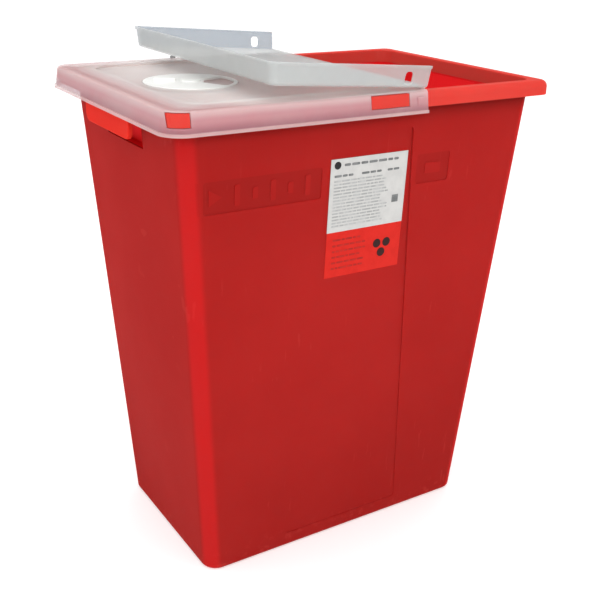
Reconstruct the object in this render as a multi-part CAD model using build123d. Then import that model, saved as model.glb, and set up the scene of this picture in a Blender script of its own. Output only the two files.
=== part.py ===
"""Sharps container: a drafted tub with a pressed-on lid, a hinged flap and a turning rotor."""

import math
import os

from build123d import *

# ---------------------------------------------------------------- driving dimensions, mm
# Tub. Half sizes are measured from the centre line to the outer face of a wall.
TUB_HEIGHT = 456.0
BASE_HALF_X, BASE_HALF_Y, BASE_CORNER = 154.7, 93.2, 16.0
MOUTH_HALF_X, MOUTH_HALF_Y, MOUTH_CORNER = 186.1, 118.7, 16.0
WALL = 2.5
FLOOR = 3.2
BASE_EDGE_ROUND = 4.0

# Rim: a flat flange with a down-turned outer skirt.
RIM_HALF_X, RIM_HALF_Y, RIM_CORNER = 197.4, 130.0, 13.0
RIM_BOTTOM = 443.0
RIM_WALL = 2.4
RIM_ROUND = 6.0
MOUTH_EDGE_ROUND = 1.1

# Grips and the finger pockets behind them.
GRIP_HALF_WIDTH, GRIP_BOTTOM, GRIP_CORNER = 49.0, 420.5, 8.0
GRIP_OUTER_X, GRIP_THICK = 199.4, 4.0
POCKET_HALF_WIDTH, POCKET_BOTTOM, POCKET_TOP = 40.0, 410.0, 441.0
POCKET_DEPTH, POCKET_TOP_DEPTH = 10.0, 0.6
POCKET_WALL, POCKET_ROUND = 2.2, 3.0

# Shallow panel that holds the label on the front wall.
PANEL_TOP, PANEL_BOTTOM = 424.0, 16.0
PANEL_TOP_HALF, PANEL_BOTTOM_HALF = 43.6, 68.0
PANEL_CENTRE_X = -0.5
PANEL_TOP_DEPTH, PANEL_BOTTOM_DEPTH = 2.0, 0.5

# Fill level band, either side of the panel, with a raised pointer and level bars.
BAND_BOTTOM, BAND_TOP, BAND_DEPTH = 369.0, 397.0, 0.6
BAND_LEFT, BAND_RIGHT = (-165.0, -52.0), (50.8, 89.0)
POINTER_LEFT, POINTER_RIGHT = -160.0, -148.0
BAR_LONG, BAR_SHORT, BAR_WIDE, BAR_PITCH = 18.0, 10.0, 5.0, 17.0
BAR_COUNT, FIRST_BAR_X, RIGHT_BAR_X = 5, -134.0, 69.9

# Label.
LABEL_LEFT, LABEL_RIGHT, LABEL_THICK = -42.2, 40.8, 0.35
LABEL_BOTTOM, LABEL_SPLIT, LABEL_TOP = 291.3, 335.0, 402.3

# Lid envelope, shared by the fixed half and the flap.
LID_UNDER, LID_TOP = 456.0, 458.2
SHOULDER_HALF_X, SHOULDER_HALF_Y, SHOULDER_CORNER = 199.7, 132.3, 15.3
LIP_HALF_X, LIP_HALF_Y, LIP_CORNER = 202.7, 135.3, 19.0
LIP_BOTTOM, LIP_HEIGHT, LIP_PROUD = 438.9, 2.4, 1.1
SKIRT_WALL = 1.9
SHOULDER_ROUND = 3.0
HINGE_X, HINGE_Z = 43.0, 459.0

# Sunk centre of the fixed half.
SUNK_LEFT, SUNK_RIGHT, SUNK_HALF_Y, SUNK_CORNER = -173.0, 29.0, 107.0, 20.0
SUNK_DEPTH = 1.8
LID_PLATE = LID_TOP - LID_UNDER

# Snap windows in the lid skirt, as (first x, last x), and their height range.
SNAP_WINDOWS = ((-199.2, -183.0), (-17.3, 23.4))
WINDOW_BOTTOM, WINDOW_TOP = 445.4, 457.0
LUG_GAP = 0.7
BOSS_X, BOSS_Z, BOSS_SIZE, BOSS_PROUD = 35.2, 449.5, 7.0, 0.7

# Small stud on the lid's back edge, beneath the folded flap.
STUD_X, STUD_Y, STUD_R, STUD_HEIGHT = -77.5, 126.5, 2.8, 2.6

# Rotor.
ROTOR_X, ROTOR_Y, ROTOR_R, ROTOR_THICK = -118.8, 0.0, 42.1, 2.0
SEAT_FLOOR, SEAT_GAP, SEAT_WALL = 454.6, 0.5, 3.0
ROTOR_LIFT = 0.3
APERTURE_INNER, APERTURE_OUTER = 12.0, 38.6
APERTURE_MIDDLE_DEG, APERTURE_SPAN_DEG = -22.0, 82.0
PORT_INNER, PORT_OUTER, PORT_SPAN_DEG = 13.0, 37.6, 76.0
APERTURE_CORNER = 2.5
RIB_LENGTH, RIB_WIDTH, RIB_HEIGHT, RIB_START = 20.0, 3.0, 2.6, 13.0
HUB_R, HUB_HEAD_R, HUB_HEAD_THICK, HUB_BARB_R = 6.0, 8.8, 1.4, 7.6
HUB_RUNNING_GAP = 0.05
HUB_BOTTOM, HUB_SLOT = 448.6, 1.6

# Flap.
FLAP_UNDER = 456.4
FLAP_LEFT, FLAP_LIP_BOTTOM = 44.3, 439.4
FLAP_SHOULDER_CORNER, FLAP_LIP_CORNER = 6.0, 8.0
FLAP_OPEN_DEG = 175.7
LATCH_HOLE_X, LATCH_HOLE_Z, LATCH_HOLE_WIDE, LATCH_HOLE_TALL = 66.0, 450.0, 9.0, 10.5
LATCH_HOLE_CORNER = 3.0

# Living hinge.
WEB_R, WEB_THICK, WEB_LEFT, WEB_HALF_Y = 0.8, 0.6, 39.5, 127.5

BIG = 600.0


# ---------------------------------------------------------------- shared shapes
def outline(half_x, half_y, corner, z):
    """Rounded rectangle at height z, centred on the upright axis."""
    return Pos(0, 0, z) * RectangleRounded(2 * half_x, 2 * half_y, corner)


def drafted(low, high):
    """Solid between two outlines, with straight walls."""
    return loft([low, high], ruled=True)


def outline_block(half_x, half_y, corner):
    """Tall filled rounded prism at the height of the rim."""
    return drafted(
        outline(half_x, half_y, corner, RIM_BOTTOM - 5),
        outline(half_x, half_y, corner, TUB_HEIGHT + 5),
    )


def prism(low_corner, high_corner):
    """Box between two corners."""
    size = [high - low for low, high in zip(low_corner, high_corner)]
    middle = [(high + low) / 2 for low, high in zip(low_corner, high_corner)]
    return Pos(*middle) * Box(*size)


def wall_size(z, inset=0.0):
    """Half sizes of the tub's outer wall at height z, moved in by inset."""
    share = z / TUB_HEIGHT
    half_x = BASE_HALF_X + share * (MOUTH_HALF_X - BASE_HALF_X)
    half_y = BASE_HALF_Y + share * (MOUTH_HALF_Y - BASE_HALF_Y)
    corner = BASE_CORNER + share * (MOUTH_CORNER - BASE_CORNER)
    return half_x - inset, half_y - inset, corner - inset


def tub_solid(low_z, high_z, inset=0.0):
    """Filled tub between two heights: flat leaning walls that meet in round corners."""
    low_x, low_y, corner = wall_size(low_z, inset)
    high_x, high_y, _ = wall_size(high_z, inset)
    views = []
    for plane, low, high in ((Plane.XZ, low_x, high_x), (Plane.YZ, low_y, high_y)):
        points = [(-low, low_z), (low, low_z), (high, high_z), (-high, high_z)]
        face = make_face(Polyline(*points, close=True))
        views.append(extrude(plane * face, MOUTH_HALF_X + 10, both=True))
    solid = views[0] & views[1]
    upright = [edge for edge in solid.edges() if abs(edge.tangent_at(0.5).Z) > 0.5]
    return fillet(upright, corner)


def front_plane(z, inward=0.0, lean_deg=0.0):
    """Plane on the front wall: local x is +X, local y runs up the wall, local z points out."""
    lean = math.atan((MOUTH_HALF_Y - BASE_HALF_Y) / TUB_HEIGHT) + math.radians(lean_deg)
    out = (0, -math.cos(lean), -math.sin(lean))
    y = -wall_size(z)[1] + inward
    return Plane(origin=(0, y, z), x_dir=(1, 0, 0), z_dir=out)


def both_sides(solid):
    """The solid and its mirror image across the XZ plane."""
    return solid + mirror(solid, about=Plane.XZ)


def sector(inner, outer, middle_deg, span_deg, low_z, high_z):
    """Upright prism of a ring sector with rounded corners, about the rotor's axis."""
    first = math.radians(middle_deg - span_deg / 2)
    last = math.radians(middle_deg + span_deg / 2)
    middle = math.radians(middle_deg)

    def at(radius, angle):
        return (radius * math.cos(angle), radius * math.sin(angle))

    edges = [
        ThreePointArc(at(inner, first), at(inner, middle), at(inner, last)),
        Line(at(inner, last), at(outer, last)),
        ThreePointArc(at(outer, last), at(outer, middle), at(outer, first)),
        Line(at(outer, first), at(inner, first)),
    ]
    face = make_face(edges)
    face = fillet(face.vertices(), APERTURE_CORNER)
    return Pos(ROTOR_X, ROTOR_Y, low_z) * extrude(face, high_z - low_z)


def rotor_cylinder(radius, low_z, high_z):
    """Upright cylinder on the rotor's axis."""
    middle = (low_z + high_z) / 2
    return Pos(ROTOR_X, ROTOR_Y, middle) * Cylinder(radius, high_z - low_z)


# ---------------------------------------------------------------- tub
def panel_cut(inward, grow=0.0):
    """Slab in front of the sunk label panel, whose floor comes forward towards the base."""
    run = PANEL_TOP - PANEL_BOTTOM
    lean = math.degrees(math.atan((PANEL_TOP_DEPTH - PANEL_BOTTOM_DEPTH) / run))
    plane = front_plane(PANEL_BOTTOM, PANEL_BOTTOM_DEPTH + inward, -lean)
    corners = [
        (PANEL_CENTRE_X - PANEL_BOTTOM_HALF - grow, -grow),
        (PANEL_CENTRE_X + PANEL_BOTTOM_HALF + grow, -grow),
        (PANEL_CENTRE_X + PANEL_TOP_HALF + grow, run + grow),
        (PANEL_CENTRE_X - PANEL_TOP_HALF - grow, run + grow),
    ]
    face = make_face(Polyline(*corners, close=True))
    face = fillet(face.vertices(), 3.0 + grow)
    return extrude(plane * face, 8.0)


def fill_band():
    """Shallow band cut, less the raised pointer and bars that stay level with the wall."""
    plane = front_plane(BAND_BOTTOM, BAND_DEPTH)
    tall = BAND_TOP - BAND_BOTTOM
    cut = None
    for first, last in (BAND_LEFT, BAND_RIGHT):
        face = Pos((first + last) / 2, tall / 2) * RectangleRounded(last - first, tall, 2.5)
        slab = extrude(plane * face, 4.0)
        cut = slab if cut is None else cut + slab
    middle = tall / 2
    pointer = make_face(
        Polyline(
            (POINTER_LEFT, middle - 7),
            (POINTER_RIGHT, middle),
            (POINTER_LEFT, middle + 7),
            close=True,
        )
    )
    marks = [pointer]
    for index in range(BAR_COUNT):
        length = BAR_LONG if index % 2 == 0 else BAR_SHORT
        x = FIRST_BAR_X + index * BAR_PITCH
        marks.append(Pos(x, middle) * RectangleRounded(BAR_WIDE, length, 1.5))
    marks.append(Pos(RIGHT_BAR_X, middle) * RectangleRounded(BAR_LONG, BAR_SHORT, 1.5))
    for mark in marks:
        cut -= extrude(plane * mark, 4.0)
    return cut


def pocket(side, wall=0.0):
    """Wedge-shaped finger pocket in a short wall; with a wall, the block that surrounds it."""
    outer_x = MOUTH_HALF_X + 4.0
    low_z, high_z = POCKET_BOTTOM - wall, POCKET_TOP
    low_x = wall_size(POCKET_BOTTOM)[0] - POCKET_DEPTH - wall
    high_x = wall_size(POCKET_TOP)[0] - POCKET_TOP_DEPTH - wall
    side_view = make_face(
        Polyline((outer_x, low_z), (low_x, low_z), (high_x, high_z), (outer_x, high_z), close=True)
    )
    block = extrude(Plane.XZ * side_view, POCKET_HALF_WIDTH + wall, both=True)
    upright = [edge for edge in block.edges() if abs(edge.tangent_at(0.5).Z) > 0.5]
    inner_upright = sorted(upright, key=lambda edge: edge.center().X)[:2]
    block = fillet(inner_upright, POCKET_ROUND + wall)
    return block if side > 0 else mirror(block, about=Plane.YZ)


def tub_shell():
    """Walls and floor, up to the underside of the rim."""
    outer = tub_solid(0, RIM_BOTTOM)
    base_edges = outer.edges().group_by(Axis.Z)[0]
    outer = fillet(base_edges, BASE_EDGE_ROUND)
    hollow = tub_solid(FLOOR, RIM_BOTTOM + 1, WALL)
    hollow = fillet(hollow.edges().group_by(Axis.Z)[0], BASE_EDGE_ROUND)
    hollow -= panel_cut(WALL - 0.1, grow=WALL)
    for side in (-1, 1):
        hollow -= pocket(side, POCKET_WALL)
    shell = outer - hollow - panel_cut(0.0) - fill_band()
    for side in (-1, 1):
        shell -= pocket(side)
    return shell


def lid_envelope(grow=0.0, low_z=LIP_BOTTOM, top_z=LID_TOP):
    """Filled outer shape of the lid's skirt and shoulder, moved out by grow."""
    low = outline(LIP_HALF_X + grow, LIP_HALF_Y + grow, LIP_CORNER + grow, low_z)
    high = outline(
        SHOULDER_HALF_X + grow, SHOULDER_HALF_Y + grow, SHOULDER_CORNER + grow, top_z
    )
    return drafted(low, high)


def window_block(first_x, last_x, shrink=0.0):
    """Block through the front skirt where a snap window is."""
    return prism(
        (first_x + shrink, -LIP_HALF_Y - 3, WINDOW_BOTTOM + shrink),
        (last_x - shrink, -RIM_HALF_Y + 9, WINDOW_TOP - shrink),
    )


def rim_flange():
    """Top of the wall, the flat flange, its down-turned skirt and the snap lugs."""
    outer = drafted(
        outline(RIM_HALF_X, RIM_HALF_Y, RIM_CORNER, RIM_BOTTOM),
        outline(RIM_HALF_X, RIM_HALF_Y, RIM_CORNER, TUB_HEIGHT),
    )
    outer = fillet(outer.edges().group_by(Axis.Z)[-1], RIM_ROUND)
    inset = RIM_WALL
    groove = drafted(
        outline(RIM_HALF_X - inset, RIM_HALF_Y - inset, RIM_CORNER - inset, RIM_BOTTOM),
        outline(RIM_HALF_X - inset, RIM_HALF_Y - inset, RIM_CORNER - inset, TUB_HEIGHT - inset),
    )
    groove = fillet(groove.edges().group_by(Axis.Z)[-1], RIM_ROUND - 1.6)
    groove -= tub_solid(RIM_BOTTOM - 1, TUB_HEIGHT)
    mouth = tub_solid(RIM_BOTTOM - 1, TUB_HEIGHT + 1, WALL)
    rim = outer - groove - mouth
    inner_top = [
        edge
        for edge in rim.edges().group_by(Axis.Z)[-1]
        if abs(edge.center().X) < MOUTH_HALF_X and abs(edge.center().Y) < MOUTH_HALF_Y
    ]
    rim = fillet(inner_top, MOUTH_EDGE_ROUND)
    skin = lid_envelope(grow=-0.25)
    for first, last in SNAP_WINDOWS:
        lug = window_block(first, last, LUG_GAP) & skin
        lug -= outline_block(RIM_HALF_X - 1.0, RIM_HALF_Y - 1.0, RIM_CORNER - 1.0)
        rim += both_sides(lug)
    return rim


def grip(side):
    """Curtain that hangs from the rim's skirt, with rounded lower corners."""
    plate = prism(
        (GRIP_OUTER_X - GRIP_THICK, -GRIP_HALF_WIDTH, GRIP_BOTTOM),
        (GRIP_OUTER_X, GRIP_HALF_WIDTH, RIM_BOTTOM),
    )
    lower = plate.edges().filter_by(Axis.X).group_by(Axis.Z)[0]
    plate = fillet(lower, GRIP_CORNER)
    outer_edges = plate.faces().sort_by(Axis.X)[-1].edges()
    plate = fillet([edge for edge in outer_edges if edge.center().Z < RIM_BOTTOM - 0.1], 1.2)
    return plate if side > 0 else mirror(plate, about=Plane.YZ)


# ---------------------------------------------------------------- lid
def lid_skin(lip_z, under_z, shoulder_corner, lip_corner):
    """Lid shell before it is cut to length: plate, rounded shoulder, flared skirt and lip."""
    low_share = (lip_z - LIP_BOTTOM) / (LID_TOP - LIP_BOTTOM)
    half_x = LIP_HALF_X + low_share * (SHOULDER_HALF_X - LIP_HALF_X)
    half_y = LIP_HALF_Y + low_share * (SHOULDER_HALF_Y - LIP_HALF_Y)
    outer = drafted(
        outline(half_x, half_y, lip_corner, lip_z),
        outline(SHOULDER_HALF_X, SHOULDER_HALF_Y, shoulder_corner, LID_TOP),
    )
    outer = fillet(outer.edges().group_by(Axis.Z)[-1], SHOULDER_ROUND)
    low_lip, high_lip = LIP_PROUD, LIP_PROUD * 0.8
    lip = drafted(
        outline(half_x + low_lip, half_y + low_lip, lip_corner + low_lip, lip_z),
        outline(half_x + high_lip, half_y + high_lip, lip_corner + low_lip, lip_z + LIP_HEIGHT),
    )
    wall = SKIRT_WALL
    hollow = drafted(
        outline(half_x - wall, half_y - wall, lip_corner - wall, lip_z),
        outline(SHOULDER_HALF_X - wall, SHOULDER_HALF_Y - wall, shoulder_corner - wall, under_z),
    )
    return outer + lip - hollow


def sunk_area(inset, low_z, high_z):
    """Filled outline of the lid's sunk centre, moved in by inset."""
    size_x = SUNK_RIGHT - SUNK_LEFT - 2 * inset
    size_y = 2 * (SUNK_HALF_Y - inset)
    face = RectangleRounded(size_x, size_y, SUNK_CORNER - inset)
    return Pos((SUNK_LEFT + SUNK_RIGHT) / 2, 0, low_z) * extrude(face, high_z - low_z)


def lid_base():
    """Fixed half: plate over the rim, skirt with windows, sunk centre, rotor seat and port."""
    keep = prism((-BIG, -BIG, 0), (HINGE_X, BIG, BIG))
    lid = lid_skin(LIP_BOTTOM, LID_UNDER, SHOULDER_CORNER, LIP_CORNER) & keep
    lid += sunk_area(-LID_PLATE, LID_UNDER - SUNK_DEPTH, LID_UNDER)
    lid -= sunk_area(0.0, LID_TOP - SUNK_DEPTH, LID_TOP + 1)
    seat_bottom = SEAT_FLOOR - LID_PLATE
    lid += rotor_cylinder(ROTOR_R + SEAT_GAP + SEAT_WALL, seat_bottom, LID_UNDER - SUNK_DEPTH)
    lid -= rotor_cylinder(ROTOR_R + SEAT_GAP, SEAT_FLOOR, LID_TOP)
    port_middle = APERTURE_MIDDLE_DEG + 180
    lid -= sector(PORT_INNER, PORT_OUTER, port_middle, PORT_SPAN_DEG, seat_bottom - 1, LID_TOP)
    lid -= rotor_cylinder(HUB_R + HUB_RUNNING_GAP, seat_bottom - 1, LID_TOP)
    for first, last in SNAP_WINDOWS:
        lid -= both_sides(window_block(first, last))
    boss_y = -SHOULDER_HALF_Y - (LIP_HALF_Y - SHOULDER_HALF_Y) * 0.5
    half = BOSS_SIZE / 2
    boss = prism(
        (BOSS_X - half, boss_y - BOSS_PROUD, BOSS_Z - half),
        (BOSS_X + half, boss_y + 1.0, BOSS_Z + half),
    )
    lid += both_sides(boss)
    stud = Pos(STUD_X, STUD_Y, LID_TOP + STUD_HEIGHT / 2 - 0.5) * Cylinder(STUD_R, STUD_HEIGHT + 1.0)
    lid += fillet(stud.edges().sort_by(Axis.Z)[-1], 0.6)
    return lid


def turned_open(solid):
    """Moves a piece of the flap from its closed place to its folded-back place."""
    axis = Axis((HINGE_X, 0, HINGE_Z), (0, -1, 0))
    return solid.rotate(axis, FLAP_OPEN_DEG)


def lid_flap():
    """Channel-shaped flap, made closed and then folded back."""
    keep = prism((FLAP_LEFT, -BIG, 0), (BIG, BIG, BIG))
    flap = lid_skin(FLAP_LIP_BOTTOM, FLAP_UNDER, FLAP_SHOULDER_CORNER, FLAP_LIP_CORNER) & keep
    hole = Pos(LATCH_HOLE_X, 0, LATCH_HOLE_Z) * (
        Plane.XZ * RectangleRounded(LATCH_HOLE_WIDE, LATCH_HOLE_TALL, LATCH_HOLE_CORNER)
    )
    flap -= extrude(hole, BIG, both=True)
    return turned_open(flap)


def living_hinge():
    """Thin web with a round bead on the hinge line, along the lid's edge."""
    bead = Pos(HINGE_X, HINGE_Z) * Circle(WEB_R)
    width = HINGE_X - WEB_LEFT
    foot = Pos(WEB_LEFT + width / 2, LID_TOP + WEB_THICK / 2) * Rectangle(width, WEB_THICK)
    web = Plane.XZ * (bead + foot)
    return extrude(web, WEB_HALF_Y, both=True)


# ---------------------------------------------------------------- rotor
def rotor_disc():
    """White disc with one aperture and a low rib to turn it by."""
    low = SEAT_FLOOR + ROTOR_LIFT
    high = low + ROTOR_THICK
    disc = rotor_cylinder(ROTOR_R, low, high)
    disc = fillet(disc.edges().sort_by(Axis.Z)[-1], 0.6)
    disc -= sector(
        APERTURE_INNER, APERTURE_OUTER, APERTURE_MIDDLE_DEG, APERTURE_SPAN_DEG, low - 1, high + 1
    )
    rib = Pos(RIB_START + RIB_LENGTH / 2, 0, high + RIB_HEIGHT / 2) * Box(
        RIB_LENGTH, RIB_WIDTH, RIB_HEIGHT
    )
    rib = fillet(rib.edges().filter_by(Axis.Z), RIB_WIDTH / 2 - 0.01)
    rib = fillet(rib.faces().sort_by(Axis.Z)[-1].edges(), 0.8)
    rib_place = Pos(ROTOR_X, ROTOR_Y, 0) * Rot(0, 0, APERTURE_MIDDLE_DEG + 180)
    disc += rib_place * rib
    disc -= rotor_cylinder(HUB_R, low - 1, high + 1)
    return disc


def rotor_hub():
    """Snap rivet: head on the disc, shank through the lid, split barb beneath."""
    disc_top = SEAT_FLOOR + ROTOR_LIFT + ROTOR_THICK
    barb_top = SEAT_FLOOR - LID_PLATE - ROTOR_LIFT
    head = rotor_cylinder(HUB_HEAD_R, disc_top, disc_top + HUB_HEAD_THICK)
    head = fillet(head.edges().sort_by(Axis.Z)[-1], 0.9)
    shank = rotor_cylinder(HUB_R, HUB_BOTTOM, disc_top)
    barb = Pos(ROTOR_X, ROTOR_Y, (HUB_BOTTOM + barb_top) / 2) * Cone(
        HUB_R, HUB_BARB_R, barb_top - HUB_BOTTOM
    )
    hub = head + shank + barb
    slot_top = SEAT_FLOOR - 0.6
    slot = prism(
        (ROTOR_X - HUB_SLOT / 2, ROTOR_Y - HUB_BARB_R - 1, HUB_BOTTOM - 1),
        (ROTOR_X + HUB_SLOT / 2, ROTOR_Y + HUB_BARB_R + 1, slot_top),
    )
    return hub - slot


# ---------------------------------------------------------------- label
def label_part(low_z, high_z):
    """One printed part of the sticker, flat on the panel."""
    run = PANEL_TOP - PANEL_BOTTOM
    lean = math.degrees(math.atan((PANEL_TOP_DEPTH - PANEL_BOTTOM_DEPTH) / run))
    plane = front_plane(PANEL_BOTTOM, PANEL_BOTTOM_DEPTH, -lean)
    tall = high_z - low_z
    face = Pos((LABEL_LEFT + LABEL_RIGHT) / 2, low_z - PANEL_BOTTOM + tall / 2) * Rectangle(
        LABEL_RIGHT - LABEL_LEFT, tall
    )
    return extrude(plane * face, LABEL_THICK)


NODES = {
    "tub_shell": tub_shell,
    "rim_flange": rim_flange,
    "left_grip": lambda: grip(-1),
    "right_grip": lambda: grip(1),
    "lid_base": lid_base,
    "lid_flap": lid_flap,
    "living_hinge": living_hinge,
    "rotor_disc": rotor_disc,
    "rotor_hub": rotor_hub,
    "white_label": lambda: label_part(LABEL_SPLIT, LABEL_TOP),
    "orange_label": lambda: label_part(LABEL_BOTTOM, LABEL_SPLIT),
}

os.makedirs("parts", exist_ok=True)
for name, make in NODES.items():
    solid = make()
    export_step(solid, f"parts/{name}.step")
    print(name, "solids", len(solid.solids()), "volume", round(solid.volume))
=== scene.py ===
"""Looks of the sharps container: moulded plastics, printed sticker, floor, light and camera."""
import math
import random

import bmesh
import bpy
from mathutils import Matrix, Vector


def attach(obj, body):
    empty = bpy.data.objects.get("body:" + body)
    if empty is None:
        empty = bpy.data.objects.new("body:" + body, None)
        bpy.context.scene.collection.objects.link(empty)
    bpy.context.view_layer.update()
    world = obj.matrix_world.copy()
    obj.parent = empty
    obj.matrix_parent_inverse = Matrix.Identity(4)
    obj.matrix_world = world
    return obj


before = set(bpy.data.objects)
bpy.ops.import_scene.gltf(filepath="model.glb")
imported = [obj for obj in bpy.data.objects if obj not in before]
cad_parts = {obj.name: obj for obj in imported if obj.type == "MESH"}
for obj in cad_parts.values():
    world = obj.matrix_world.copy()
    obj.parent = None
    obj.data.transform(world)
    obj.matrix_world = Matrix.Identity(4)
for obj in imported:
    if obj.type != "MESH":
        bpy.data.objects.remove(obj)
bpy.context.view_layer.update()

TUB = "tub"

# Share of light that each skin of the natural plastic stops.
LID_ALPHA, FLAP_ALPHA = 0.55, 0.47

# Walls of the tub: the foot's distance from the centre plane, and how far it leans out per metre up.
WALL_FOOT, WALL_SLOPE = 0.0932, 0.0255 / 0.456
SIDE_FOOT, SIDE_SLOPE = 0.1547, 0.0314 / 0.456
TUB_CORNER = 0.016

# Camera, as the direction it looks from and its distance to the aim point.
VIEW_AZIMUTH, VIEW_ELEVATION, VIEW_ROLL = -32.49, 22.10, 1.39
VIEW_DISTANCE, VIEW_LENS, SENSOR = 0.9782, 56.29, 36.0
AIM_HEIGHT, AIM_RIGHT, AIM_UP = 0.225, 0.00153, -0.00113

# Where the tones of the tub change, each as the two ends of a soft step, in metres.
# The fill band, the inner skin, the corners, the strip under the rim and the low wall get painted
# shade or painted light; only the scuffed foot is wear.
BAND_FOOT, BAND_HEAD = (0.3688, 0.3694), (0.3972, 0.3966)
BAND_FLOOR, BAND_BACK = (0.00025, 0.00045), (0.0012, 0.0010)
PANEL_CENTRE, PANEL_EDGE = -0.0005, (0.0470, 0.0480)
INNER_SKIN, CORNER_EDGE = (0.0021, 0.0024), (0.001, 0.007)
UNDER_RIM = (0.4240, 0.4440)
LOW_WALL_SHADE, SCUFFED_FOOT = (0.320, 0.0), (0.030, 0.001)

# The same for the lid and the flap.
# Most of these place the lid's painted light and shade: the red rim showing through, light by the
# hinge, highlights on the shoulder and lip, and shade at the skirt's foot.
OVER_SIDE_RIM, OVER_LONG_RIM = (0.168, 0.192), (0.104, 0.124)
LIT_BY_HINGE = (-0.175, -0.110)
SHOULDER_EDGE, SKIRT_HEAD = (0.4581, 0.4574), (0.4560, 0.4500)
SKIRT_FOOT, LIP_EDGE = (0.4500, 0.4420), (0.4418, 0.4412)
STUD_FOOT, STUD_FRONT, STUD_RIGHT = (0.4586, 0.4588), (0.120, 0.121), (0.035, 0.034)
FLAP_BACK_SKIRT = (0.1240, 0.1300)

# How strongly each tone is laid over the colour below it.
# The second to fifth of these set painted shade low on the walls, painted shade in the fill band, a
# painted highlight on the corners and painted shade under the rim.
FLOW_TONE, LOW_WALL_SHADE_TONE, BAND_SHADE_TONE, CORNER_HIGHLIGHT_TONE, UNDER_RIM_SHADE_TONE = 0.35, 0.28, 0.30, 0.30, 0.85
SCUFF_TONE, SCRATCH_TONE, FROST_CLOUD_TONE = 0.28, 0.16, 0.25
RIM_FLUSH_BY_HINGE = 0.45

# Light inside the plastics: its reach for red, green and blue, its depth in metres, and for the red
# plastic its share.
RED_REACH, RED_DEPTH, RED_SPREAD = (1.0, 0.10, 0.08), 0.005, 0.60
FROST_REACH, FLAP_DEPTH, LID_DEPTH = (1.0, 0.95, 0.9), 0.012, 0.003
PLASTIC_IOR = 1.49

# Studio.
FLOOR_TONES = ((0.94, 0.94, 0.94, 1), (0.92, 0.92, 0.92, 1))
FLOOR_GLOW, SURROUND_LIGHT = 0.16, 1.05
LAMPS = (
    ("key", (-0.9, -1.3, 2.1), (0, 0, 0.25), (1.2, 1.2), 12),
    ("fill", (-0.9, -1.9, 1.25), (0, 0, 0.45), (0.8, 0.4), 14),
    ("top", (0.1, 0.1, 2.2), (0, 0, 0.4), (1.2, 1.2), 5),
)

# Colours, linear.
RED = (0.325, 0.0150, 0.0132, 1)
RED_DEEP = (0.288, 0.0122, 0.0108, 1)
RED_SHADE = (0.172, 0.0100, 0.0085, 1)
# Lit red for painted light on the inner walls and a painted highlight on the corners.
RED_LIT = (0.68, 0.013, 0.016, 1)
# Painted light: the rim and grip reds are lighter than the walls' red for the light they catch.
RED_RIM_LIT = (0.54, 0.050, 0.038, 1)
RED_RIM_LIT_DEEP = (0.51, 0.041, 0.031, 1)
RED_GRIP_LIT = (0.59, 0.024, 0.015, 1)
RED_GRIP_LIT_DEEP = (0.54, 0.020, 0.013, 1)
RED_WORN = (0.52, 0.06, 0.05, 1)
MILKY = (0.405, 0.43, 0.425, 1)
MILKY_DARK = (0.37, 0.39, 0.39, 1)
# Painted cool shade for the flap's back skirt.
MILKY_COOL_SHADE = (0.16, 0.21, 0.27, 1)
FROST = (0.68, 0.63, 0.61, 1)
# Painted light lifting the flap's shadow on the lid by the hinge.
FROST_LIT = (0.95, 0.91, 0.87, 1)
FROST_DARK = (0.60, 0.545, 0.53, 1)
# Painted tones of the lid: pink for the red rim showing through, a painted highlight on the shoulder,
# a pink skirt, a darker painted shade at the skirt's foot and a painted highlight on the lip.
FROST_PINK = (0.62, 0.41, 0.41, 1)
FROST_HIGHLIGHT = (0.65, 0.48, 0.48, 1)
FROST_DEEP = (0.57, 0.31, 0.335, 1)
FROST_MAUVE_SHADE = (0.40, 0.20, 0.23, 1)
FROST_LIP_HIGHLIGHT = (0.60, 0.41, 0.41, 1)
STUD_GREY = (0.12, 0.115, 0.12, 1)
WHITE = (0.77, 0.77, 0.75, 1)
WHITE_DARK = (0.71, 0.71, 0.685, 1)
PAPER = (0.47, 0.465, 0.45, 1)
PAPER_DARK = (0.425, 0.42, 0.41, 1)
ORANGE = (0.51, 0.010, 0.004, 1)
ORANGE_DARK = (0.46, 0.008, 0.003, 1)
INK, INK_WORN = (0.012, 0.011, 0.012, 1), (0.02, 0.018, 0.02, 1)
GREY_INK, GREY_INK_WORN = (0.11, 0.115, 0.115, 1), (0.19, 0.195, 0.195, 1)
FINE_INK, FINE_INK_WORN = (0.27, 0.275, 0.27, 1), (0.40, 0.405, 0.40, 1)
DARK_RED_INK, DARK_RED_INK_WORN = (0.26, 0.009, 0.006, 1), (0.38, 0.016, 0.010, 1)
DOT_INK, DOT_INK_WORN = (0.020, 0.005, 0.005, 1), (0.032, 0.007, 0.006, 1)


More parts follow.
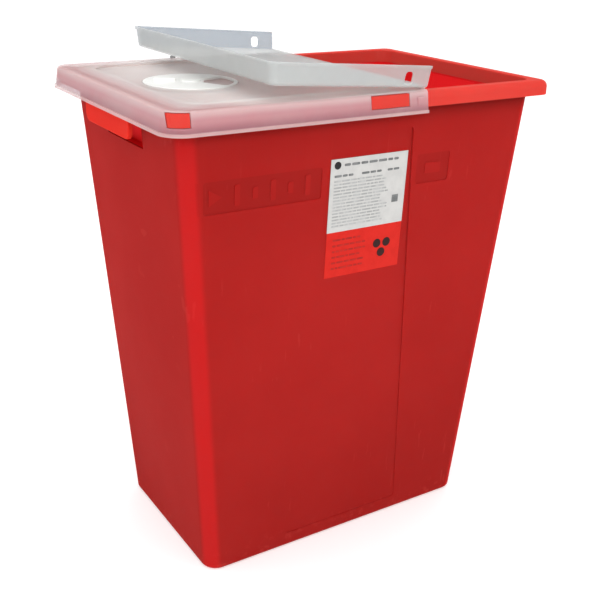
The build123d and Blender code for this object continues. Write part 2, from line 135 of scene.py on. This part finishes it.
# ---------------------------------------------------------------- materials
class Nodes:
    """A material's node tree, with short calls for the nodes used here."""

    def __init__(self, name):
        self.material = bpy.data.materials.new(name)
        self.material.use_nodes = True
        self.tree = self.material.node_tree
        self.tree.nodes.clear()
        self.output = self.add("ShaderNodeOutputMaterial")
        self.shader = self.add("ShaderNodeBsdfPrincipled")
        self.link(self.shader.outputs[0], self.output.inputs[0])
        self.place = self.add("ShaderNodeTexCoord").outputs["Object"]

    def add(self, kind, **settings):
        node = self.tree.nodes.new(kind)
        for key, value in settings.items():
            setattr(node, key, value)
        return node

    def link(self, source, target):
        self.tree.links.new(source, target)

    def stretched(self, scale):
        """Object coordinates times a scale per axis."""
        node = self.add("ShaderNodeMapping")
        self.link(self.place, node.inputs["Vector"])
        node.inputs["Scale"].default_value = scale
        return node.outputs[0]

    def noise(self, scale, detail=3.0, rough=0.55, where=None, distortion=0.0):
        node = self.add("ShaderNodeTexNoise")
        self.link(where or self.place, node.inputs["Vector"])
        node.inputs["Scale"].default_value = scale
        node.inputs["Detail"].default_value = detail
        node.inputs["Roughness"].default_value = rough
        node.inputs["Distortion"].default_value = distortion
        return node.outputs["Fac"]

    def span(self, source, low, high, to_low=0.0, to_high=1.0):
        """Maps low..high to to_low..to_high with a soft step, clamped."""
        node = self.add("ShaderNodeMapRange", interpolation_type="SMOOTHSTEP")
        self.link(source, node.inputs["Value"])
        node.inputs["From Min"].default_value = low
        node.inputs["From Max"].default_value = high
        node.inputs["To Min"].default_value = to_low
        node.inputs["To Max"].default_value = to_high
        return node.outputs["Result"]

    def math(self, kind, a, b):
        node = self.add("ShaderNodeMath", operation=kind)
        for socket, value in zip(node.inputs, (a, b)):
            if isinstance(value, (int, float)):
                socket.default_value = value
            else:
                self.link(value, socket)
        return node.outputs[0]

    def mix(self, factor, a, b):
        """Mix of two colours, each a tuple or a socket."""
        node = self.add("ShaderNodeMix", data_type="RGBA")
        self.link(factor, node.inputs["Factor"])
        for socket, value in zip((node.inputs[6], node.inputs[7]), (a, b)):
            if isinstance(value, tuple):
                socket.default_value = value
            else:
                self.link(value, socket)
        return node.outputs[2]

    def axis(self, name):
        node = self.add("ShaderNodeSeparateXYZ")
        self.link(self.place, node.inputs[0])
        return node.outputs[name]

    def bump(self, height, distance, strength=1.0, under=None):
        node = self.add("ShaderNodeBump")
        node.inputs["Distance"].default_value = distance
        node.inputs["Strength"].default_value = strength
        self.link(height, node.inputs["Height"])
        if under is not None:
            self.link(under, node.inputs["Normal"])
        return node.outputs[0]

    def glow(self, weight, reach, scale):
        """Light that spreads inside the plastic."""
        self.shader.inputs["Subsurface Weight"].default_value = weight
        self.shader.inputs["Subsurface Radius"].default_value = reach
        self.shader.inputs["Subsurface Scale"].default_value = scale

    def finish(self, colour, rough, normal):
        self.link(colour, self.shader.inputs["Base Color"])
        self.link(rough, self.shader.inputs["Roughness"])
        self.link(normal, self.shader.inputs["Normal"])
        return self.material


def scratches(n, scale, turn):
    """Thin scattered scuff lines, about 0 or 1."""
    mapping = n.add("ShaderNodeMapping")
    n.link(n.place, mapping.inputs["Vector"])
    mapping.inputs["Rotation"].default_value = turn
    mapping.inputs["Scale"].default_value = (scale, scale * 0.12, scale * 0.12)
    lines = n.noise(1.0, 2.0, 0.5, mapping.outputs[0])
    where = n.noise(9.0, 2.0, 0.5)
    thin = n.span(lines, 0.655, 0.685)
    patch = n.span(where, 0.52, 0.62)
    return n.math("MULTIPLY", thin, patch)


def red_plastic(name, bright, deep):
    """Red moulded polypropylene: satin, with flow marks, grain, thin scratches, a scuffed foot and
    painted shade that darkens the walls towards the bottom.
    """
    n = Nodes(name)
    cloud = n.noise(5.0, 4.0, 0.6)
    flow = n.noise(14.0, 3.0, 0.5, n.stretched((1.0, 1.0, 0.12)), 0.4)
    colour = n.mix(n.span(cloud, 0.3, 0.7), bright, deep)
    flow_part = n.math("MULTIPLY", n.span(flow, 0.45, 0.75), FLOW_TONE)
    colour = n.mix(flow_part, colour, deep)
    height = n.axis("Z")
    # Painted shade: the walls darken towards the bottom.
    colour = n.mix(n.span(height, *LOW_WALL_SHADE, 0.0, LOW_WALL_SHADE_TONE), colour, RED_SHADE)
    low = n.span(height, *SCUFFED_FOOT)
    scuff_noise = n.span(n.noise(120.0, 5.0, 0.7), 0.52, 0.68)
    base_wear = n.math("MULTIPLY", low, scuff_noise)
    lines = scratches(n, 260.0, (0.3, 0.9, 0.5))
    scuffed = n.math("MULTIPLY", base_wear, SCUFF_TONE)
    wear = n.math("MAXIMUM", scuffed, n.math("MULTIPLY", lines, SCRATCH_TONE))
    colour = n.mix(wear, colour, RED_WORN)
    grain = n.noise(1400.0, 2.0, 0.6)
    rough = n.math("ADD", n.span(cloud, 0.3, 0.7, 0.44, 0.52), n.math("MULTIPLY", wear, 0.25))
    rough = n.math("ADD", rough, n.span(grain, 0.3, 0.7, -0.03, 0.03))
    wavy = n.bump(n.noise(7.0, 2.0, 0.4), 0.0012, 0.35)
    fine = n.bump(grain, 0.00006, 0.5, wavy)
    n.glow(RED_SPREAD, RED_REACH, RED_DEPTH)
    n.shader.inputs["Specular IOR Level"].default_value = 0.004
    n.shader.inputs["IOR"].default_value = PLASTIC_IOR
    return n, colour, rough, fine


def tub_plastic():
    """Red of the walls, with painted light on the inner walls, a painted highlight on the corners,
    and painted shade in the fill band and under the rim.
    """
    n, colour, rough, fine = red_plastic("red_polypropylene", RED, RED_DEEP)
    z = n.axis("Z")
    side_line = n.math("ADD", n.math("MULTIPLY", z, SIDE_SLOPE), SIDE_FOOT)
    in_rows = n.math("MULTIPLY", n.span(z, *BAND_FOOT), n.span(z, *BAND_HEAD))
    from_panel = n.math("ABSOLUTE", n.math("SUBTRACT", n.axis("X"), PANEL_CENTRE), 0.0)
    beside_panel = n.span(from_panel, *PANEL_EDGE)
    wall_line = n.math("ADD", n.math("MULTIPLY", z, WALL_SLOPE), WALL_FOOT)
    depth = n.math("ADD", n.axis("Y"), wall_line)
    sunk = n.math("MULTIPLY", n.span(depth, *BAND_FLOOR), n.span(depth, *BAND_BACK))
    band = n.math("MULTIPLY", n.math("MULTIPLY", in_rows, beside_panel), sunk)
    # Painted shade in the recessed fill band.
    colour = n.mix(n.math("MULTIPLY", band, BAND_SHADE_TONE), colour, RED_SHADE)
    gaps = []
    for line, letter in ((side_line, "X"), (wall_line, "Y")):
        from_wall = n.math("SUBTRACT", line, n.math("ABSOLUTE", n.axis(letter), 0.0))
        gaps.append(n.math("MAXIMUM", n.math("SUBTRACT", TUB_CORNER, from_wall), 0.0))
    squares = n.math("ADD", n.math("POWER", gaps[0], 2.0), n.math("POWER", gaps[1], 2.0))
    below_skin = n.math("SUBTRACT", TUB_CORNER, n.math("SQRT", squares, 0.0))
    inside = n.span(below_skin, *INNER_SKIN)
    # Painted highlight along the upright corners.
    corner_highlight = n.span(n.math("MINIMUM", gaps[0], gaps[1]), *CORNER_EDGE)
    colour = n.mix(n.math("MULTIPLY", corner_highlight, CORNER_HIGHLIGHT_TONE), colour, RED_LIT)
    # Painted light: the inner walls are coloured a lighter red.
    colour = n.mix(inside, colour, RED_LIT)
    # Painted shade on the outer wall just under the rim's overhang.
    outside = n.math("SUBTRACT", 1.0, inside)
    under_rim_shade = n.math("MULTIPLY", n.span(z, *UNDER_RIM), outside)
    colour = n.mix(n.math("MULTIPLY", under_rim_shade, UNDER_RIM_SHADE_TONE), colour, RED_SHADE)
    return n.finish(colour, rough, fine)


def lit_red_plastic(name, bright, deep):
    """Red of the rim and grips, coloured lighter than the walls as painted light for the light they
    catch.
    """
    n, colour, rough, fine = red_plastic(name, bright, deep)
    return n.finish(colour, rough, fine)


def frost_finish(n, colour, alpha, depth):
    """Frosted skin of natural polypropylene: cloudy, faintly streaked and scuffed."""
    cloud = n.noise(11.0, 4.0, 0.6, None, 0.6)
    grain = n.noise(1100.0, 2.0, 0.6)
    lines = scratches(n, 200.0, (0.2, 0.1, 1.1))
    rough = n.math("ADD", n.span(cloud, 0.3, 0.7, 0.34, 0.46), n.math("MULTIPLY", lines, 0.2))
    wavy = n.bump(n.noise(16.0, 2.0, 0.4), 0.0008, 0.3)
    fine = n.bump(n.math("ADD", grain, n.math("MULTIPLY", lines, 0.5)), 0.00007, 0.5, wavy)
    n.glow(1.0, FROST_REACH, depth)
    n.shader.inputs["Alpha"].default_value = alpha
    n.shader.inputs["Specular IOR Level"].default_value = 0.35
    n.shader.inputs["IOR"].default_value = PLASTIC_IOR
    return n.finish(colour, rough, fine)


def flap_plastic():
    """Natural polypropylene of the flap, a milky grey with a painted cool shade along its back skirt.
    """
    n = Nodes("flap_polypropylene")
    cloud = n.noise(13.0, 4.0, 0.6, None, 0.6)
    colour = n.mix(n.span(cloud, 0.3, 0.7), MILKY, MILKY_DARK)
    # Painted cool shade along the back skirt.
    colour = n.mix(n.span(n.axis("Y"), *FLAP_BACK_SKIRT), colour, MILKY_COOL_SHADE)
    return frost_finish(n, colour, FLAP_ALPHA, FLAP_DEPTH)


def lid_plastic():
    """Natural polypropylene of the fixed half, with painted light and shade: pink where the red rim
    and tub show through, lighter by the hinge under the flap, a painted highlight on the shoulder and
    the lip, and a darker painted shade at the skirt's foot.
    """
    n = Nodes("lid_polypropylene")
    cloud = n.noise(11.0, 4.0, 0.6, None, 0.6)
    x, y, z = (n.axis(letter) for letter in "XYZ")
    x_side = n.span(n.math("ABSOLUTE", x, 0.0), *OVER_SIDE_RIM)
    y_side = n.span(n.math("ABSOLUTE", y, 0.0), *OVER_LONG_RIM)
    over_rim = n.math("MAXIMUM", x_side, y_side)
    # Painted light: the lid is lighter by the hinge, where the flap's shadow falls.
    lit_by_hinge = n.span(x, *LIT_BY_HINGE)
    colour = n.mix(lit_by_hinge, FROST, FROST_LIT)
    # Painted light: pink where the red rim shows through, weaker by the hinge.
    flush = n.math("MULTIPLY", over_rim, n.span(lit_by_hinge, 0.0, 1.0, 1.0, RIM_FLUSH_BY_HINGE))
    colour = n.mix(flush, colour, FROST_PINK)
    # Painted highlight along the shoulder over the rim.
    shoulder_highlight = n.math("MULTIPLY", over_rim, n.span(z, *SHOULDER_EDGE))
    colour = n.mix(shoulder_highlight, colour, FROST_HIGHLIGHT)
    # Painted light and shade on the skirt: pink where the red rim shows through, a darker shade at
    # its foot and a highlight on the lip.
    colour = n.mix(n.span(z, *SKIRT_HEAD), colour, FROST_DEEP)
    colour = n.mix(n.span(z, *SKIRT_FOOT), colour, FROST_MAUVE_SHADE)
    colour = n.mix(n.span(z, *LIP_EDGE), colour, FROST_LIP_HIGHLIGHT)
    clouded = n.math("MULTIPLY", n.span(cloud, 0.35, 0.75), FROST_CLOUD_TONE)
    colour = n.mix(clouded, colour, FROST_DARK)
    at_stud = n.math("MULTIPLY", n.span(z, *STUD_FOOT), n.span(y, *STUD_FRONT))
    at_stud = n.math("MULTIPLY", at_stud, n.span(x, *STUD_RIGHT))
    colour = n.mix(at_stud, colour, STUD_GREY)
    return frost_finish(n, colour, LID_ALPHA, LID_DEPTH)


def white_plastic():
    """White moulded polypropylene of the rotor."""
    n = Nodes("white_polypropylene")
    cloud = n.noise(22.0, 3.0, 0.6)
    colour = n.mix(n.span(cloud, 0.35, 0.7), WHITE, WHITE_DARK)
    grain = n.noise(1300.0, 2.0, 0.6)
    rough = n.math("ADD", n.span(cloud, 0.3, 0.7, 0.30, 0.38), n.span(grain, 0.3, 0.7, -0.03, 0.03))
    wavy = n.bump(n.noise(28.0, 2.0, 0.4), 0.0004, 0.3)
    return n.finish(colour, rough, n.bump(grain, 0.00005, 0.5, wavy))


def printed_film(name, colour_a, colour_b, rough_low=0.42):
    """Label film with a faint mottle and small creases."""
    n = Nodes(name)
    mottle = n.noise(90.0, 4.0, 0.65)
    colour = n.mix(n.span(mottle, 0.35, 0.7), colour_a, colour_b)
    fibre = n.noise(2200.0, 2.0, 0.6)
    rough = n.span(mottle, 0.3, 0.7, rough_low, rough_low + 0.12)
    wavy = n.bump(n.noise(45.0, 2.0, 0.5), 0.0003, 0.5)
    n.shader.inputs["Specular IOR Level"].default_value = 0.15
    return n.finish(colour, rough, n.bump(fibre, 0.00003, 0.4, wavy))


def dress(node, material):
    """Gives a carried CAD node its material."""
    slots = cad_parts[node].data.materials
    slots.clear()
    slots.append(material)


# ---------------------------------------------------------------- printed marks
class Face:
    """The front face of a label node, as its lower left corner, its directions and its size."""

    def __init__(self, node):
        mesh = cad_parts[node].data
        front = min(mesh.polygons, key=lambda p: p.normal.y)
        self.out = front.normal.copy()
        points = [v.co for v in mesh.vertices if (v.co - front.center).dot(self.out) > -0.00002]
        self.across = Vector((1, 0, 0))
        self.up = self.out.cross(self.across).normalized()
        if self.up.z < 0:
            self.up.negate()
        xs = [p.dot(self.across) for p in points]
        zs = [p.dot(self.up) for p in points]
        self.width, self.height = max(xs) - min(xs), max(zs) - min(zs)
        depth = front.center.dot(self.out)
        self.corner = self.across * min(xs) + self.up * min(zs) + self.out * depth

    def at(self, x, y, lift):
        return self.corner + self.across * x + self.up * y + self.out * lift


MARK_LIFT, MARK_CORNER_STEPS = 0.00012, 4


def rounded_bar(x, y, width, height):
    """Outline of a bar with round corners, from its lower left corner, counter-clockwise."""
    radius = min(width, height) * 0.45
    corners = (
        (x + width - radius, y + radius, -90),
        (x + width - radius, y + height - radius, 0),
        (x + radius, y + height - radius, 90),
        (x + radius, y + radius, 180),
    )
    points = []
    for centre_x, centre_y, start in corners:
        for step in range(MARK_CORNER_STEPS + 1):
            angle = math.radians(start + 90 * step / MARK_CORNER_STEPS)
            points.append((centre_x + radius * math.cos(angle), centre_y + radius * math.sin(angle)))
    return points


def disc(x, y, radius, steps=36):
    """Outline of a round dot."""
    turn = [2 * math.pi * step / steps for step in range(steps)]
    return [(x + radius * math.cos(a), y + radius * math.sin(a)) for a in turn]


def print_marks(name, face, outlines, material):
    """Closed thin slabs on a label face, one for each outline."""
    mesh = bpy.data.meshes.new(name)
    bm = bmesh.new()
    for points in outlines:
        top = [bm.verts.new(face.at(x, y, MARK_LIFT)) for x, y in points]
        low = [bm.verts.new(face.at(x, y, 0.0)) for x, y in points]
        bm.faces.new(top)
        bm.faces.new(list(reversed(low)))
        for index in range(len(points)):
            after = (index + 1) % len(points)
            bm.faces.new((low[index], low[after], top[after], top[index]))
    bmesh.ops.recalc_face_normals(bm, faces=bm.faces)
    bm.to_mesh(mesh)
    bm.free()
    piece = bpy.data.objects.new(name, mesh)
    bpy.context.scene.collection.objects.link(piece)
    mesh.materials.append(material)
    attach(piece, TUB)


def dashes(rng, left, right, y, height, shortest, longest, gap):
    """One row of word-like dashes between left and right."""
    row, x = [], left
    while x < right - shortest:
        length = min(rng.uniform(shortest, longest), right - x)
        row.append(rounded_bar(x, y, length, height))
        x += length + gap
    return row


def white_label_marks():
    """Heading dot and row, a bold row in three parts, a block of fine rows and a small square."""
    face = Face("white_label")
    w, h = face.width, face.height
    rng = random.Random(3)
    dark = [disc(0.085 * w, 0.915 * h, 0.042 * w)]
    grey = dashes(rng, 0.17 * w, 0.92 * w, 0.895 * h, 0.034 * h, 0.06 * w, 0.14 * w, 0.015 * w)
    for left, right, longest in ((0.05, 0.30, 0.10), (0.40, 0.66, 0.10), (0.74, 0.93, 0.09)):
        ends = (left * w, right * w)
        grey += dashes(rng, *ends, 0.755 * h, 0.030 * h, 0.05 * w, longest * w, 0.012 * w)
    fine_rows, first_row, pitch = 15, 0.690, 0.044
    fine = []
    for index in range(fine_rows):
        y = (first_row - index * pitch) * h
        right = rng.uniform(0.66, 0.78) * w
        fine += dashes(rng, 0.05 * w, right, y, 0.021 * h, 0.03 * w, 0.12 * w, 0.008 * w)
    x, y, side = 0.83 * w, 0.30 * h, 0.085 * w
    grey.append([(x, y), (x + side, y), (x + side, y + side), (x, y + side)])
    ink = printed_film("ink_black", INK, INK_WORN, 0.45)
    grey_ink = printed_film("ink_grey", GREY_INK, GREY_INK_WORN)
    fine_ink = printed_film("ink_fine", FINE_INK, FINE_INK_WORN)
    print_marks("label_dot", face, dark, ink)
    print_marks("label_bold_rows", face, grey, grey_ink)
    print_marks("label_fine_rows", face, fine, fine_ink)


def orange_label_marks():
    """Rows of dashes on the left and three plain dots on the right."""
    face = Face("orange_label")
    w, h = face.width, face.height
    rng = random.Random(8)
    rows, first_row, pitch = 6, 0.80, 0.125
    lines = []
    for index in range(rows):
        y = (first_row - index * pitch) * h
        right = rng.uniform(0.44, 0.54) * w
        lines += dashes(rng, 0.08 * w, right, y, 0.040 * h, 0.03 * w, 0.11 * w, 0.012 * w)
    middle_x, middle_y, reach = 0.745 * w, 0.52 * h, 0.075 * w
    dots = []
    for degrees in (150, 30, 270):
        angle = math.radians(degrees)
        dot_x, dot_y = middle_x + reach * math.cos(angle), middle_y + reach * math.sin(angle)
        dots.append(disc(dot_x, dot_y, 0.052 * w))
    line_ink = printed_film("ink_dark_red", DARK_RED_INK, DARK_RED_INK_WORN)
    dot_ink = printed_film("ink_dots", DOT_INK, DOT_INK_WORN, 0.45)
    print_marks("label_orange_rows", face, lines, line_ink)
    print_marks("label_orange_dots", face, dots, dot_ink)


# ---------------------------------------------------------------- studio
def camera():
    """Camera on a sphere about the aim point, rolled and nudged in its own plane."""
    azimuth, elevation, roll = (math.radians(a) for a in (VIEW_AZIMUTH, VIEW_ELEVATION, VIEW_ROLL))
    back = Vector(
        (
            math.sin(azimuth) * math.cos(elevation),
            -math.cos(azimuth) * math.cos(elevation),
            math.sin(elevation),
        )
    )
    right = Vector((0, 0, 1)).cross(back).normalized()
    up = back.cross(right)
    turned_right = right * math.cos(roll) + up * math.sin(roll)
    turned_up = up * math.cos(roll) - right * math.sin(roll)
    place = Vector((0, 0, AIM_HEIGHT)) + turned_right * AIM_RIGHT + turned_up * AIM_UP
    place += back * VIEW_DISTANCE
    data = bpy.data.cameras.new("camera")
    data.lens = VIEW_LENS
    data.sensor_width = SENSOR
    data.clip_end = 100
    item = bpy.data.objects.new("camera", data)
    columns = Matrix((turned_right, turned_up, back)).transposed().to_4x4()
    item.matrix_world = Matrix.Translation(place) @ columns
    bpy.context.scene.collection.objects.link(item)
    bpy.context.scene.camera = item


def area_light(name, place, aim, size, power):
    """Rectangular lamp at a place, turned to an aim point."""
    data = bpy.data.lights.new(name, "AREA")
    data.shape = "RECTANGLE"
    data.size, data.size_y = size
    data.energy = power
    item = bpy.data.objects.new(name, data)
    direction = Vector(aim) - Vector(place)
    turn = direction.to_track_quat("-Z", "Y").to_matrix().to_4x4()
    item.matrix_world = Matrix.Translation(place) @ turn
    bpy.context.scene.collection.objects.link(item)


def studio():
    """Pale floor, white surroundings and three soft lamps."""
    bm = bmesh.new()
    bmesh.ops.create_grid(bm, x_segments=8, y_segments=8, size=30)
    mesh = bpy.data.meshes.new("floor")
    bm.to_mesh(mesh)
    bm.free()
    floor = bpy.data.objects.new("floor", mesh)
    bpy.context.scene.collection.objects.link(floor)
    n = Nodes("floor_paper")
    tone = n.noise(0.8, 2.0)
    colour = n.mix(tone, *FLOOR_TONES)
    rough = n.span(tone, 0.3, 0.7, 0.85, 0.95)
    n.shader.inputs["Emission Color"].default_value = (1, 1, 1, 1)
    n.shader.inputs["Emission Strength"].default_value = FLOOR_GLOW
    mesh.materials.append(n.finish(colour, rough, n.bump(n.noise(400.0), 0.0001, 0.2)))
    floor.location.z = -0.0002
    world = bpy.data.worlds.new("studio")
    world.use_nodes = True
    background = world.node_tree.nodes["Background"]
    background.inputs["Color"].default_value = (1, 1, 1, 1)
    background.inputs["Strength"].default_value = SURROUND_LIGHT
    bpy.context.scene.world = world
    for lamp in LAMPS:
        area_light(*lamp)
    bpy.context.scene.view_settings.view_transform = "Standard"


dress("tub_shell", tub_plastic())
# The rim and grips take lighter reds as painted light.
dress("rim_flange", lit_red_plastic("red_polypropylene_rim_lit", RED_RIM_LIT, RED_RIM_LIT_DEEP))
grip_red_lit = lit_red_plastic("red_polypropylene_grip_lit", RED_GRIP_LIT, RED_GRIP_LIT_DEEP)
for grip_node in ("left_grip", "right_grip"):
    dress(grip_node, grip_red_lit)
lid_frost = lid_plastic()
dress("lid_base", lid_frost)
dress("living_hinge", lid_frost)
dress("lid_flap", flap_plastic())
white = white_plastic()
dress("rotor_disc", white)
dress("rotor_hub", white)
dress("white_label", printed_film("film_white", PAPER, PAPER_DARK))
dress("orange_label", printed_film("film_orange", ORANGE, ORANGE_DARK))
white_label_marks()
orange_label_marks()
camera()
studio()
